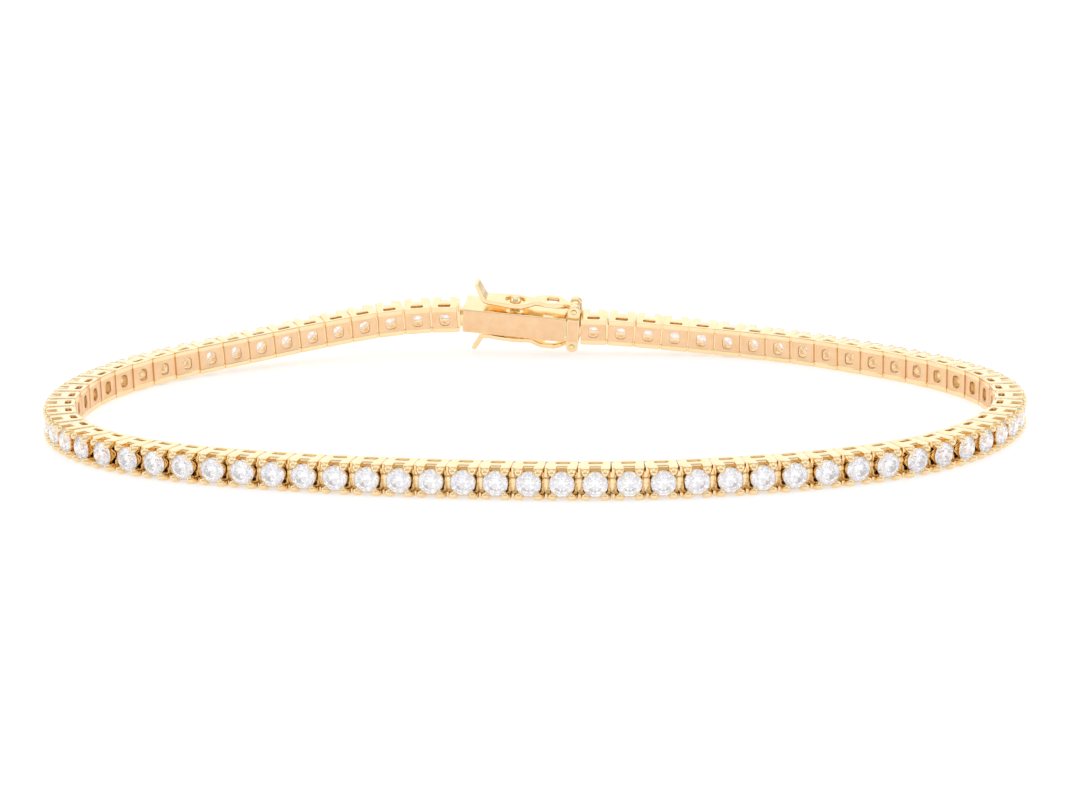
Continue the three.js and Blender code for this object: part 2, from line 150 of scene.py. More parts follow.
# Gold: cast 18 carat yellow gold, tumbled and hand polished. A fresh polish is nearly a mirror with
# faint rub marks, and gold seen in gold, inside the notches and between the prongs, goes deep orange.
def two_tones(tree, place, factor, stops, tones):
    """A colour ramp between two sRGB tones."""
    ramp = add_node(tree, "ShaderNodeValToRGB", place, [(factor, "Fac")])
    for element, stop, tone in zip(ramp.color_ramp.elements, stops, tones):
        element.position, element.color = stop, linear(tone)
    return ramp.outputs["Color"]


# The tone drifts over 1.1 mm, and the rub marks are 0.17 mm, drawn coarser than the real fine ones
gold, tree = new_material("polished_yellow_gold")
coords = add_node(tree, "ShaderNodeTexCoord", (-900, 0))
cloud = add_node(
    tree, "ShaderNodeTexNoise", (-700, 150), [(coords.outputs["Object"], "Vector")], Scale=900.0, Detail=3.0,
)
tone = two_tones(tree, (-480, 200), cloud.outputs["Fac"], (0.3, 0.7), ("#FDDFAE", "#FFE7BB"))
rub = add_node(
    tree, "ShaderNodeTexNoise", (-700, -150), [(coords.outputs["Object"], "Vector")], Scale=6000.0, Detail=2.0,
)
polish = add_node(
    tree, "ShaderNodeMapRange", (-480, -100), [(rub.outputs["Fac"], "Value")], To_Min=0.1, To_Max=0.22,
)
rub_bump = add_node(
    tree, "ShaderNodeBump", (-480, -350), [(rub.outputs["Fac"], "Height")], Strength=0.08, Distance=0.00002,
)
surface = add_node(
    tree, "ShaderNodeBsdfPrincipled", (-200, 0),
    [(tone, "Base Color"), (polish.outputs["Result"], "Roughness"), (rub_bump.outputs[0], "Normal")],
    Metallic=1.0,
)
add_node(tree, "ShaderNodeOutputMaterial", (100, 0), [(surface.outputs[0], "Surface")])


# Link setting: one cast basket of the chain, in millimetres. Two side walls with a notch and a slot
# join two end walls round a tapered seat, and four corner prongs grip the stone.
PITCH, LINK_GAP, HEIGHT = 2.2, 0.12, 2.25
HALF_WIDTH = (PITCH - LINK_GAP) / 2
SIDE_WALL, SIDE_ROUNDING = 0.4, 0.05
middle = HEIGHT / 2


def arc(cx, cy, radius, start, end, steps=4):
    """Points of an arc from one angle to another, in degrees."""
    turns = [math.radians(start + (end - start) * i / steps) for i in range(steps + 1)]
    return [(cx + radius * math.cos(t), cy + radius * math.sin(t)) for t in turns]


def all_round(count):
    """Even angles once round a circle."""
    return [2 * math.pi * i / count for i in range(count)]


def rounded_box(x0, x1, y0, y1, radius, steps=4):
    """A rounded rectangle, anticlockwise."""
    return (
        arc(x0 + radius, y0 + radius, radius, 180, 270, steps)
        + arc(x1 - radius, y0 + radius, radius, 270, 360, steps)
        + arc(x1 - radius, y1 - radius, radius, 0, 90, steps)
        + arc(x0 + radius, y1 - radius, radius, 90, 180, steps)
    )


def plate(outlines, thickness, rounding, matrix):
    """A flat plate with rounded edges: the first outline is its edge and the others are holes in it."""
    curve = bpy.data.curves.new("plate", "CURVE")
    curve.dimensions, curve.fill_mode = "2D", "BOTH"
    curve.extrude, curve.bevel_depth, curve.bevel_resolution = thickness / 2 - rounding, rounding, 1
    curve.offset = -rounding
    for outline in outlines:
        spline = curve.splines.new("POLY")
        spline.points.add(len(outline) - 1)
        for point, (x, y) in zip(spline.points, outline):
            point.co = (x, y, 0, 1)
        spline.use_cyclic_u = True
    holder = bpy.data.objects.new("plate", curve)
    made = bmesh.new()
    mesh = bpy.data.meshes.new_from_object(holder)
    made.from_mesh(mesh)
    bmesh.ops.remove_doubles(made, verts=made.verts, dist=1e-4)
    bmesh.ops.transform(made, matrix=matrix, verts=made.verts)
    bmesh.ops.recalc_face_normals(made, faces=made.faces)
    bpy.data.objects.remove(holder)
    bpy.data.curves.remove(curve)
    bpy.data.meshes.remove(mesh)
    return made


def loft(rings):
    """A closed skin over rings of points that all have the same count."""
    made = bmesh.new()
    rows = [[made.verts.new(p) for p in ring] for ring in rings]
    count = len(rings[0])
    for low, high in zip(rows, rows[1:]):
        for i in range(count):
            made.faces.new((low[i], low[(i + 1) % count], high[(i + 1) % count], high[i]))
    made.faces.new(rows[0])
    made.faces.new(rows[-1])
    bmesh.ops.recalc_face_normals(made, faces=made.faces)
    return made


def gather(target, part):
    """Adds a part's faces to the target and frees the part."""
    mesh = bpy.data.meshes.new("part")
    part.to_mesh(mesh)
    target.from_mesh(mesh)
    part.free()
    bpy.data.meshes.remove(mesh)


def oval(cx, cz, y, half_x, half_z, square, count=12):
    """A ring round Y whose corners go from round, at 2, to nearly square, at higher values of square."""
    ring = []
    for t in all_round(count):
        c, s = math.cos(t), math.sin(t)
        ring.append((
            cx + half_x * math.copysign(abs(c) ** (2 / square), c), y,
            cz + half_z * math.copysign(abs(s) ** (2 / square), s),
        ))
    return ring


# A side wall is drawn with Y upward: its notch is open to the front, and its slot lies near the base
NOTCH_HALF, NOTCH_FLOOR, SHOULDER = 0.375, 1.35, 2.1
SOFT_CORNER, SHOULDER_ROUND, NOTCH_ROUND = 0.08, 0.42, 0.05
SLOT_HALF, SLOT_LOW, SLOT_HIGH, SLOT_ROUND = 0.5, 0.3, 0.75, 0.12
side_outline = (
    arc(-HALF_WIDTH + SOFT_CORNER, SOFT_CORNER, SOFT_CORNER, 180, 270)
    + arc(HALF_WIDTH - SOFT_CORNER, SOFT_CORNER, SOFT_CORNER, 270, 360)
    + arc(HALF_WIDTH - SHOULDER_ROUND, SHOULDER - SHOULDER_ROUND, SHOULDER_ROUND, 0, 90, 6)
    + arc(NOTCH_HALF + SOFT_CORNER, SHOULDER - SOFT_CORNER, SOFT_CORNER, 90, 180)
    + arc(NOTCH_HALF - NOTCH_ROUND, NOTCH_FLOOR + NOTCH_ROUND, NOTCH_ROUND, 360, 270, 2)
    + arc(-NOTCH_HALF + NOTCH_ROUND, NOTCH_FLOOR + NOTCH_ROUND, NOTCH_ROUND, 270, 180, 2)
    + arc(-NOTCH_HALF - SOFT_CORNER, SHOULDER - SOFT_CORNER, SOFT_CORNER, 0, 90)
    + arc(-HALF_WIDTH + SHOULDER_ROUND, SHOULDER - SHOULDER_ROUND, SHOULDER_ROUND, 90, 180, 6)
)
side_slot = rounded_box(-SLOT_HALF, SLOT_HALF, SLOT_LOW, SLOT_HIGH, SLOT_ROUND, 2)
setting = bmesh.new()
for z in (SIDE_WALL / 2, HEIGHT - SIDE_WALL / 2):
    gather(setting, plate([side_outline, side_slot], SIDE_WALL, SIDE_ROUNDING, Matrix.Translation((0, 0, z))))

# The end walls are scooped so that the stone's edge shows between two links
END_BACK, END_FRONT, END_SIDE, END_INSET = 0.12, 1.58, 0.3, 0.12
END_WALL, END_ROUNDING, SCOOP_AT, SCOOP_RADIUS = 0.2, 0.09, 1.78, 0.45
end_outline = (
    [(END_BACK, END_SIDE), (END_FRONT, END_SIDE)]
    + arc(SCOOP_AT, middle, SCOOP_RADIUS, 235, 125, 6)
    + [(END_FRONT, HEIGHT - END_SIDE), (END_BACK, HEIGHT - END_SIDE)]
)
for x in (-HALF_WIDTH + END_INSET, HALF_WIDTH - END_INSET):
    onto_end = Matrix(((0, 0, 1, x), (1, 0, 0, 0), (0, 1, 0, 0), (0, 0, 0, 1)))
    gather(setting, plate([end_outline], END_WALL, END_ROUNDING, onto_end))

# The seat is a tapered collar that carries the girdle, seen as a warm wall through the notches
SEAT_PROFILE = (
    (0.47, 0.12), (0.66, 0.12), (0.76, 1.1), (0.87, 1.86), (0.85, 1.93), (0.79, 1.9), (0.6, 1.35), (0.49, 0.9),
)
seat = bmesh.new()
columns = [
    [seat.verts.new((r * math.cos(t), y, middle + r * math.sin(t))) for r, y in SEAT_PROFILE]
    for t in all_round(24)
]
for one, two in zip(columns, columns[1:] + columns[:1]):
    for i in range(len(SEAT_PROFILE)):
        j = (i + 1) % len(SEAT_PROFILE)
        seat.faces.new((one[i], one[j], two[j], two[i]))
bmesh.ops.recalc_face_normals(seat, faces=seat.faces)
gather(setting, seat)

# Each prong rises from a corner, leans in over the girdle and ends in a burnished bead. A step has
# its height, its place and half sizes across and up, and how square it is.
PRONG_STEPS = (
    (1.2, 0.7, 0.83, 0.33, 0.28, 3.4), (1.7, 0.7, 0.835, 0.33, 0.28, 3.0),
    (1.95, 0.69, 0.83, 0.32, 0.275, 2.6), (2.06, 0.685, 0.825, 0.3, 0.265, 2.2),
    (2.15, 0.675, 0.815, 0.27, 0.25, 2.0), (2.23, 0.67, 0.805, 0.225, 0.215, 2.0),
    (2.3, 0.665, 0.8, 0.16, 0.155, 2.0), (2.35, 0.66, 0.795, 0.06, 0.06, 2.0),
)
for side_x in (-1, 1):
    for side_z in (-1, 1):
        gather(setting, loft([
            oval(side_x * x, middle + side_z * z, y, half_x, half_z, square)
            for y, x, z, half_x, half_z, square in PRONG_STEPS
        ]))

# The lug reaches into the next link, where its pin is hidden, and the stops beside it close the gap.
# Each has its outline along and up, its depth, and its middle in depth.
STOP_ROUNDING = 0.04
for stop, depth, y in (
    (rounded_box(0.88, 1.32, middle - 0.12, middle + 0.3, 0.1, 2), 1.0, 1.0),
    (rounded_box(0.9, 1.3, middle - 0.72, middle + 0.72, 0.1, 2), 1.2, 0.755),
    (rounded_box(0.9, 1.18, 0.02, 0.42, 0.05, 2), 1.7, 0.95),
    (rounded_box(0.9, 1.18, HEIGHT - 0.42, HEIGHT - 0.02, 0.05, 2), 1.7, 0.95),
):
    onto_stop = Matrix(((1, 0, 0, 0), (0, 0, 1, y), (0, 1, 0, 0), (0, 0, 0, 1)))
    gather(setting, plate([stop], depth, STOP_ROUNDING, onto_stop))

# Edges that bend by more than this stay crisp, and the rounds between them are shaded smooth
CRISP_ANGLE = math.radians(38)


def crisp_mesh(name, part):
    """A part's mesh with crisp edges and smooth rounds. The part is freed."""
    mesh = bpy.data.meshes.new(name)
    part.to_mesh(mesh)
    part.free()
    mesh.shade_smooth()
    mesh.set_sharp_from_angle(angle=CRISP_ANGLE)
    return mesh


def link_part(name, part):
    """Turns a part of a link, drawn in millimetres, into an object in metres."""
    bmesh.ops.triangulate(part, faces=[f for f in part.faces if len(f.verts) > 4])
    mesh = crisp_mesh(name, part)
    mesh.transform(Matrix.Scale(MM, 4))
    return bpy.data.objects.new(name, mesh)


link_setting = link_part("link_setting", setting)


# Link base: the plate that lies on the wrist, its edges eased, with a squarish light hole under the
# stone. It is cast with the setting, and wear against the skin has turned its polish to a deeper satin.
# Its tan tone, darker and more orange than the polished gold, is painted shade on the inner side of the loop.
BASE_PLATE, BASE_ROUNDING, BASE_AT, BASE_INSET, BASE_CORNER = 0.22, 0.06, 0.13, 0.01, 0.1
HOLE_HALF_X, HOLE_HALF_Z, HOLE_ROUND = 0.4, 0.48, 0.3
base_outline = rounded_box(
    -HALF_WIDTH + BASE_INSET, HALF_WIDTH - BASE_INSET, BASE_INSET, HEIGHT - BASE_INSET, BASE_CORNER,
)
base_hole = rounded_box(-HOLE_HALF_X, HOLE_HALF_X, middle - HOLE_HALF_Z, middle + HOLE_HALF_Z, HOLE_ROUND)
onto_base = Matrix(((1, 0, 0, 0), (0, 0, -1, BASE_AT), (0, 1, 0, 0), (0, 0, 0, 1)))
link_base = link_part("link_base", plate([base_outline, base_hole], BASE_PLATE, BASE_ROUNDING, onto_base))

# The wear is in clouds of about 0.8 mm, each a little duller or brighter than the next.
# Both tones are darker than the polished gold: painted shade.
worn_satin_and_painted_shade, tree = new_material("worn_satin_gold_painted_shade")
coords = add_node(tree, "ShaderNodeTexCoord", (-900, 0))
wear = add_node(
    tree, "ShaderNodeTexNoise", (-700, 150), [(coords.outputs["Object"], "Vector")], Scale=1300.0, Detail=4.0,
)
tone = two_tones(tree, (-480, 200), wear.outputs["Fac"], (0.3, 0.7), ("#F3C99B", "#FAD7AE"))
dull = add_node(
    tree, "ShaderNodeMapRange", (-480, -100), [(wear.outputs["Fac"], "Value")], To_Min=0.36, To_Max=0.5,
)
surface = add_node(
    tree, "ShaderNodeBsdfPrincipled", (-200, 0),
    [(tone, "Base Color"), (dull.outputs["Result"], "Roughness")], Metallic=1.0,
)
add_node(tree, "ShaderNodeOutputMaterial", (100, 0), [(surface.outputs[0], "Surface")])


# Stone: a round brilliant-cut diamond of nearly 1.8 mm with a polished girdle, 57 facets in all. The
# crown has a table, eight stars, eight kites and sixteen halves, the pavilion eight mains and sixteen halves.
STONE_RADIUS, TABLE_RADIUS, CROWN, PAVILION, GIRDLE = 0.89, 0.5, 0.27, 0.75, 0.04
TABLE_AT, LOWER_HALF_SHARE = 2.27, 0.28


def brilliant():
    """The stone's mesh with its table facing out along Y."""
    made = bmesh.new()
    girdle_y = TABLE_AT - CROWN

    def point(radius, eighths, y):
        t = math.radians(45 * eighths)
        return made.verts.new((radius * math.cos(t), y, middle + radius * math.sin(t)))

    half_turn = math.cos(math.radians(22.5))
    star_radius = 0.5 * (STONE_RADIUS + TABLE_RADIUS)
    star_y = girdle_y + CROWN * (STONE_RADIUS - star_radius * half_turn) / (STONE_RADIUS - TABLE_RADIUS)
    half_radius = LOWER_HALF_SHARE * STONE_RADIUS
    half_y = girdle_y - GIRDLE - PAVILION * (1 - half_radius * half_turn / STONE_RADIUS)
    table = [point(TABLE_RADIUS, i, TABLE_AT) for i in range(8)]
    stars = [point(star_radius, i + 0.5, star_y) for i in range(8)]
    upper = [point(STONE_RADIUS, i / 2, girdle_y) for i in range(16)]
    lower = [point(STONE_RADIUS, i / 2, girdle_y - GIRDLE) for i in range(16)]
    halves = [point(half_radius, i + 0.5, half_y) for i in range(8)]
    culet = point(0, 0, girdle_y - GIRDLE - PAVILION)
    made.faces.new(table)
    for i in range(8):
        before, after = (i - 1) % 8, (i + 1) % 8
        edge = 2 * i
        made.faces.new((table[i], stars[i], table[after]))
        made.faces.new((table[i], stars[before], upper[edge], stars[i]))
        made.faces.new((stars[i], upper[edge], upper[edge + 1]))
        made.faces.new((stars[i], upper[edge + 1], upper[(edge + 2) % 16]))
        made.faces.new((culet, halves[before], lower[edge], halves[i]))
        made.faces.new((halves[i], lower[edge], lower[edge + 1]))
        made.faces.new((halves[i], lower[edge + 1], lower[(edge + 2) % 16]))
    for i in range(16):
        made.faces.new((upper[i], upper[(i + 1) % 16], lower[(i + 1) % 16], lower[i]))
    bmesh.ops.recalc_face_normals(made, faces=made.faces)
    mesh = bpy.data.meshes.new("brilliant_stone")
    made.to_mesh(mesh)
    made.free()
    mesh.transform(Matrix.Scale(MM, 4))
    return mesh


brilliant_stone = bpy.data.objects.new("brilliant_stone", brilliant())

# Diamond bends light hard, so a small bright stone shows white and grey splinters with a lilac cast.
# A short render doesn't gather all that light, so the outer side has a soft haze and a trace of painted glow.
CLEARNESS_OUTSIDE, GLOW, PAVILION_GLOW = 0.72, 0.055, 0.28
diamond, tree = new_material("clear_cut_diamond")
coords = add_node(tree, "ShaderNodeTexCoord", (-700, 0))
fire = add_node(
    tree, "ShaderNodeTexNoise", (-500, 0), [(coords.outputs["Object"], "Vector")], Scale=1800.0, Detail=1.0,
)
tint = two_tones(tree, (-280, 0), fire.outputs["Fac"], (0.35, 0.65), ("#EFEDF8", "#FFFFFF"))
side = add_node(tree, "ShaderNodeNewGeometry", (-700, -250))
clear = add_node(
    tree, "ShaderNodeMapRange", (-280, -250), [(side.outputs["Backfacing"], "Value")],
    To_Min=CLEARNESS_OUTSIDE, To_Max=1.0,
)

# Facets that face the middle of the loop belong to the pavilion, which passes on light from outside;
# there the outer side gets a stronger painted glow in its place.
toward = add_node(
    tree, "ShaderNodeVectorMath", (-500, -450),
    [(side.outputs["Normal"], 0), (coords.outputs["Object"], 1)], operation="DOT_PRODUCT",
)
pavilion_painted_glow = add_node(
    tree, "ShaderNodeMapRange", (-280, -500), [(toward.outputs["Value"], "Value")],
    From_Min=0.003, From_Max=-0.003, To_Min=0.0, To_Max=PAVILION_GLOW,
)
outside = add_node(
    tree, "ShaderNodeMapRange", (-280, -750), [(side.outputs["Backfacing"], "Value")], To_Min=1.0, To_Max=0.0,
)
painted_glow = add_node(
    tree, "ShaderNodeMath", (-100, -550),
    [(pavilion_painted_glow.outputs["Result"], 0), (outside.outputs["Result"], 1)], operation="MULTIPLY_ADD",
)
painted_glow.inputs[2].default_value = GLOW
surface = add_node(
    tree, "ShaderNodeBsdfPrincipled", (100, 0),
    [(tint, "Base Color"), (clear.outputs["Result"], "Transmission Weight"),
     (painted_glow.outputs[0], "Emission Strength")],
    Roughness=0.0, IOR=2.417, Emission_Color=linear("#F8F4F4"),
)
add_node(tree, "ShaderNodeOutputMaterial", (300, 0), [(surface.outputs[0], "Surface")])


# Chain: 76 cast links hooked one to the next on hidden pins. They follow one route, lying on their side
# walls and lifted at the clasp. The headings give the loop's shape, two small bending terms close it,
# and each joint lies one pitch from the last.
LINK_COUNT = 76
CLASP_LENGTH, CLASP_HEADING = 10.0, -6.0
LIFT_LEFT, LIFT_RIGHT, SPAN_LEFT, SPAN_RIGHT = 1.95, 1.0, 11.5, 6.2
LEAN, LEAN_SPAN = math.radians(15), 9.0
FIRST_JOINT = Vector((3.839281, 19.640152, 0.0))
ROUTE_HEADINGS = (
    -3.9, -4.3, -24.7, -39.2, -44.1, -60.1, -89.1, -115.2, -135.1, -156.1, -166.6, -173.3, -182.6,
    -188.1, -190.5, -195.0, -199.9, -212.8, -238.6, -265.2, -284.0, -308.7, -329.3, -336.7, -342.9, -364.4,
)
CLOSING_ROUNDS, TRIAL_BEND = 12, 0.01


def bell(height, distance, span):
    """A height or a lean that fades away with distance."""
    return height * math.exp(-0.5 * (distance / span) ** 2)


def lift(distance):
    """How far the chain is held off the surface, from the distance along it."""
    rest = LINK_COUNT * PITCH - distance
    return bell(LIFT_RIGHT, distance, SPAN_RIGHT) + bell(LIFT_LEFT, rest, SPAN_LEFT)


def upright(start, end, distance):
    """A frame at a joint: X along the chain, Y away from the wrist, Z up but leaning in near the clasp."""
    nearest = min(distance, LINK_COUNT * PITCH - distance)
    along = (end - start).normalized()
    out = Vector((0, 0, 1)).cross(along).normalized()
    axes = Matrix((along, out, along.cross(out))).transposed().to_4x4()
    return Matrix.Translation(start) @ axes @ Matrix.Rotation(bell(LEAN, nearest, LEAN_SPAN), 4, "X")


def walk(bend_a, bend_b):
    """The joints of the chain, in millimetres, from the clasp's right end round to its left end."""
    joints = [FIRST_JOINT + Vector((0, 0, lift(0)))]
    for i in range(LINK_COUNT):
        share = i / (LINK_COUNT - 1)
        place = share * (len(ROUTE_HEADINGS) - 1)
        low = min(int(place), len(ROUTE_HEADINGS) - 2)
        heading = ROUTE_HEADINGS[low] + (ROUTE_HEADINGS[low + 1] - ROUTE_HEADINGS[low]) * (place - low)
        around = 2 * math.pi * share
        heading = math.radians(heading + bend_a * math.cos(around) + bend_b * math.sin(around))
        rise = lift((i + 1) * PITCH) - joints[i].z
        run = math.sqrt(PITCH * PITCH - rise * rise)
        joints.append(joints[i] + Vector((run * math.cos(heading), run * math.sin(heading), rise)))
    return joints


clasp_rise = LIFT_RIGHT - LIFT_LEFT
clasp_run = math.sqrt(CLASP_LENGTH**2 - clasp_rise**2)
clasp_turn = math.radians(CLASP_HEADING)
clasp_span = Vector((clasp_run * math.cos(clasp_turn), clasp_run * math.sin(clasp_turn)))
bend_a = bend_b = 0.0
for _ in range(CLOSING_ROUNDS):
    missed, missed_a, missed_b = [
        (walk(a, b)[-1] - FIRST_JOINT).to_2d() + clasp_span
        for a, b in ((bend_a, bend_b), (bend_a + TRIAL_BEND, bend_b), (bend_a, bend_b + TRIAL_BEND))
    ]
    along_a, along_b = (missed_a - missed) / TRIAL_BEND, (missed_b - missed) / TRIAL_BEND
    size = along_a.x * along_b.y - along_b.x * along_a.y
    bend_a -= (missed.x * along_b.y - missed.y * along_b.x) / size
    bend_b -= (along_a.x * missed.y - along_a.y * missed.x) / size
chain_joints = walk(bend_a, bend_b)


def link_row_tree():
    """Geometry Nodes that set one link at the middle of each edge of a route, its length along the edge."""
    tree = bpy.data.node_groups.new("links_along_route", "GeometryNodeTree")
    for name, way, kind in (
        ("Route", "INPUT", "NodeSocketGeometry"), ("Link", "INPUT", "NodeSocketObject"),
        ("Link scale", "INPUT", "NodeSocketFloat"), ("Finish", "INPUT", "NodeSocketMaterial"),
        ("Links", "OUTPUT", "NodeSocketGeometry"),
    ):
        tree.interface.new_socket(name, in_out=way, socket_type=kind)
    given = add_node(tree, "NodeGroupInput", (-1000, 0))
    ends = add_node(tree, "GeometryNodeInputMeshEdgeVertices", (-1000, -250))
    along = add_node(
        tree, "ShaderNodeVectorMath", (-800, -250),
        [(ends.outputs["Position 2"], 0), (ends.outputs["Position 1"], 1)], operation="SUBTRACT",
    )
    kept = add_node(
        tree, "GeometryNodeCaptureAttribute", (-600, 0), [(given.outputs["Route"], "Geometry")], domain="EDGE",
    )
    kept.capture_items.new("VECTOR", "Along")
    tree.links.new(along.outputs[0], kept.inputs["Along"])
    points = add_node(
        tree, "GeometryNodeMeshToPoints", (-400, 0), [(kept.outputs["Geometry"], "Mesh")], mode="EDGES",
    )
    up = add_node(tree, "GeometryNodeInputNamedAttribute", (-400, -450), data_type="FLOAT_VECTOR")
    up.inputs["Name"].default_value = "up"
    facing = add_node(
        tree, "FunctionNodeAlignRotationToVector", (-400, -250), [(kept.outputs["Along"], "Vector")], axis="X",
    )
    level = add_node(
        tree, "FunctionNodeAlignRotationToVector", (-200, -250),
        [(facing.outputs[0], "Rotation"), (up.outputs["Attribute"], "Vector")], axis="Z", pivot_axis="X",
    )
    link = add_node(tree, "GeometryNodeObjectInfo", (-200, -500), [(given.outputs["Link"], "Object")])
    copies = add_node(
        tree, "GeometryNodeInstanceOnPoints", (0, 0),
        [(points.outputs[0], "Points"), (link.outputs["Geometry"], "Instance"), (level.outputs[0], "Rotation"),
         (given.outputs["Link scale"], "Scale")],
    )
    real = add_node(tree, "GeometryNodeRealizeInstances", (200, 0), [(copies.outputs[0], "Geometry")])
    coloured = add_node(
        tree, "GeometryNodeSetMaterial", (400, 0),
        [(real.outputs[0], "Geometry"), (given.outputs["Finish"], "Material")],
    )
    add_node(tree, "NodeGroupOutput", (600, 0), [(coloured.outputs[0], "Links")])
    return tree


links_along_route = link_row_tree()


def row_of_links(name, first, end, link, finish):
    """One run of the chain as a plain mesh: copies of a link or stone from one joint to another."""
    route = bpy.data.meshes.new(name)
    points = chain_joints[first : end + 1]
    route.from_pydata([p * MM for p in points], [(i, i + 1) for i in range(len(points) - 1)], [])
    up = route.attributes.new("up", "FLOAT_VECTOR", "EDGE")
    for i, item in enumerate(up.data):
        item.vector = upright(points[i], points[i + 1], (first + i + 0.5) * PITCH).col[2].to_3d()
    row = bpy.data.objects.new(name, route)
    bpy.context.scene.collection.objects.link(row)
    modifier = row.modifiers.new("links", "NODES")
    modifier.node_group = links_along_route
    sockets = {s.name: s.identifier for s in links_along_route.interface.items_tree if s.in_out == "INPUT"}
    modifier[sockets["Link"]] = link
    modifier[sockets["Link scale"]] = 1.0
    modifier[sockets["Finish"]] = finish
    seen = bpy.context.evaluated_depsgraph_get()
    mesh = bpy.data.meshes.new_from_object(row.evaluated_get(seen))
    row.modifiers.clear()
    row.data = mesh
    bpy.data.meshes.remove(route)
    return row


half = LINK_COUNT // 2
for node, first, end in (("chain_right", 0, half), ("chain_left", half, LINK_COUNT)):
    for part, link, finish in (
        ("_settings", link_setting, gold), ("_bases", link_base, worn_satin_and_painted_shade), ("_stones", brilliant_stone, diamond),
    ):
        row = row_of_links(node + part, first, end, link, finish)
        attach(row, "bracelet")
        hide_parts(node)


# Clasp box: a drawn and soldered gold box round the tongue, open toward the end plate. A ball stud
# stands on each side for the safety catches, and an eye joins it to the chain's last link.
clasp_frame = upright(chain_joints[-1], chain_joints[0], 0.0) @ Matrix.Translation((0, 0, middle))
CLASP_DEPTH, BOX_START, BOX_END, BOX_HALF, WALL = 2.7, 0.28, 8.73, 1.05, 0.3
CLASP_MIDDLE, STUD_AT = CLASP_DEPTH / 2, 4.4
FLIP = Matrix.Scale(-1, 4, (0, 0, 1))
WRIST_FACING, WRIST_NEAR = -0.95, 0.05


def finished(name, part, node, body):
    """Places a piece drawn in the clasp's own millimetres and lets it stand in for its solid.

    Its flat faces against the wrist are worn to a satin, as the link bases are, and share their painted shade.
    """
    bmesh.ops.recalc_face_normals(part, faces=part.faces)
    on_the_wrist = [
        f for f in part.faces if f.normal.y < WRIST_FACING and f.calc_center_median().y < WRIST_NEAR
    ]
    for face in on_the_wrist:
        face.material_index = 1
    bmesh.ops.transform(part, matrix=Matrix.Scale(MM, 4) @ clasp_frame, verts=part.verts)
    bmesh.ops.triangulate(part, faces=[f for f in part.faces if len(f.verts) > 4])
    bmesh.ops.recalc_face_normals(part, faces=part.faces)
    mesh = crisp_mesh(name, part)
    mesh.materials.append(gold)
    if on_the_wrist:
        mesh.materials.append(worn_satin_and_painted_shade)
    made = bpy.data.objects.new(name, mesh)
    bpy.context.scene.collection.objects.link(made)
    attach(made, body)
    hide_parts(node)


def turned(profile, matrix):
    """A turned form: (radius, height) steps about Z, moved into place by the matrix."""
    return loft([
        [matrix @ Vector((r * math.cos(t), r * math.sin(t), h)) for t in all_round(24)] for r, h in profile
    ])


def box_ring(x, inset, radius):
    """A rounded rectangle across the clasp at one place along it."""
    outline = rounded_box(inset, CLASP_DEPTH - inset, -BOX_HALF + inset, BOX_HALF - inset, radius)
    return [(x, y, z) for y, z in outline]


# The skin runs along the outside from the closed end to the mouth, and back inside to the end wall
box = loft([
    box_ring(BOX_START, 0.08, 0.06), box_ring(BOX_START + 0.02, 0.03, 0.09),
    box_ring(BOX_START + 0.07, 0.0, 0.11), box_ring(BOX_END - 0.04, 0.0, 0.11),
    box_ring(BOX_END, 0.03, 0.09), box_ring(BOX_END, WALL - 0.03, 0.05),
    box_ring(BOX_END - 0.03, WALL, 0.05), box_ring(BOX_START + WALL, WALL, 0.05),
])
STUD_PROFILE = (
    (0.34, 0.9), (0.34, 1.06), (0.26, 1.12), (0.24, 1.2), (0.34, 1.27), (0.43, 1.4), (0.47, 1.58), (0.45, 1.72),
    (0.37, 1.87), (0.24, 1.98), (0.1, 2.03), (0.02, 2.04),
)
stud_place = Matrix.Translation((STUD_AT, CLASP_MIDDLE, 0))
gather(box, turned(STUD_PROFILE, stud_place))
gather(box, turned(STUD_PROFILE, FLIP @ stud_place))

# The eye is a rounded block at an end of the clasp that narrows to a lug in the last link
EYE_STEPS = ((0.45, 0.85), (0.2, 0.85), (0.1, 0.8), (0.03, 0.6), (0.02, 0.28), (-0.3, 0.24))


def oval_across(x, cy, half_y, half_z):
    """A soft-cornered ring across the clasp at one place along it."""
    return [(x, y, z) for y, _, z in oval(cy, 0.0, 0.0, half_y, half_z, 3.0)]


def chain_eye(end, toward):
    """The soldered eye at one end of the clasp, from (place, half height) steps."""
    return loft([oval_across(end + toward * x, 0.2 + 0.85 * r, 0.85 * r, r) for x, r in EYE_STEPS])


gather(box, chain_eye(0.0, 1))
finished("clasp_box_polished", box, "clasp_box", "bracelet")


# Clasp tongue: the tall end plate with a pair of ears on each side for the catches' pins, and the
# folded strip soldered to it, which springs open inside the box. The plate is cast and polished.
PLATE_START, PLATE_END, HINGE_AT, HINGE_RISE, EAR = 8.83, 9.88, 9.33, 1.6, 0.5
KNUCKLE_HALF, KNUCKLE_GAP, EAR_WIDTH, EAR_FOOT, EAR_ROUNDING, PIN = 0.35, 0.1, 0.6, 0.8, 0.07, 0.18
PLATE_ROUNDING, FOLD_WIDTH, FOLD_ROUNDING = 0.1, 1.6, 0.04


def across(y):
    """Stands a flat plate drawn in X and Z upright, with its middle at this depth."""
    return Matrix(((1, 0, 0, 0), (0, 0, -1, y), (0, 1, 0, 0), (0, 0, 0, 1)))


